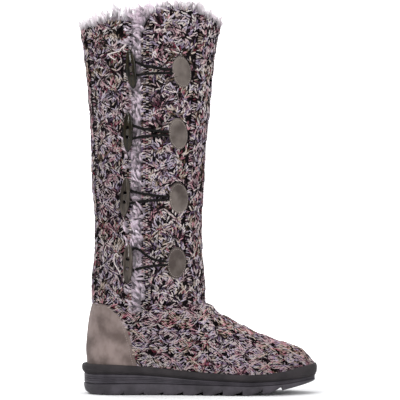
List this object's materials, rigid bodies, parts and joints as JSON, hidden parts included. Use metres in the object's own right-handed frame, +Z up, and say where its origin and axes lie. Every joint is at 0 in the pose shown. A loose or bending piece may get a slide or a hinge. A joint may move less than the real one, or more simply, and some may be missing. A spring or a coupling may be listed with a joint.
{
  "type": "knee-high boot",
  "caption": "Knee-high knitted winter boot for the right foot: hollow shaft with a fur-lined side slit held by horn toggles on cords, suede heel counter, low lugged sole.",
  "frame": {"origin": "on the floor under the middle of the heel's flat rest", "axes": "+X along the sole towards the toe, +Y towards the inner (medial) side of the foot, +Z up the shaft"},
  "size_m": [0.2734, 0.1188, 0.4513],
  "materials": {
    "rubber": "matt grey tread rubber",
    "foam": "satin grey moulded side wall",
    "foxing": "matt charcoal, finely textured",
    "knit": "chunky cable knit in a marled cream, lilac, plum and taupe yarn",
    "fur": "long grey-lilac fleece",
    "suede": "taupe suede, soft nap",
    "horn": "polished dark brown horn look",
    "twine": "taupe sewing twine",
    "cord": "black waxed cord"
  },
  "bodies": {
    "root": {"outsole": "rubber", "midsole": "foam", "welt": "foxing", "insole": "fur", "upper": "knit", "heel_counter": "suede", "fur_collar": "fur", "fur_gusset": "fur", "patch_1": "suede", "patch_2": "suede", "patch_3": "suede", "patch_4": "suede", "toggle_1": "horn", "toggle_2": "horn", "toggle_3": "horn", "toggle_4": "horn", "thread_1": "twine", "thread_2": "twine", "thread_3": "twine", "thread_4": "twine", "cord_1": "cord", "cord_2": "cord", "cord_3": "cord", "cord_4": "cord"}
  },
  "joints": []
}
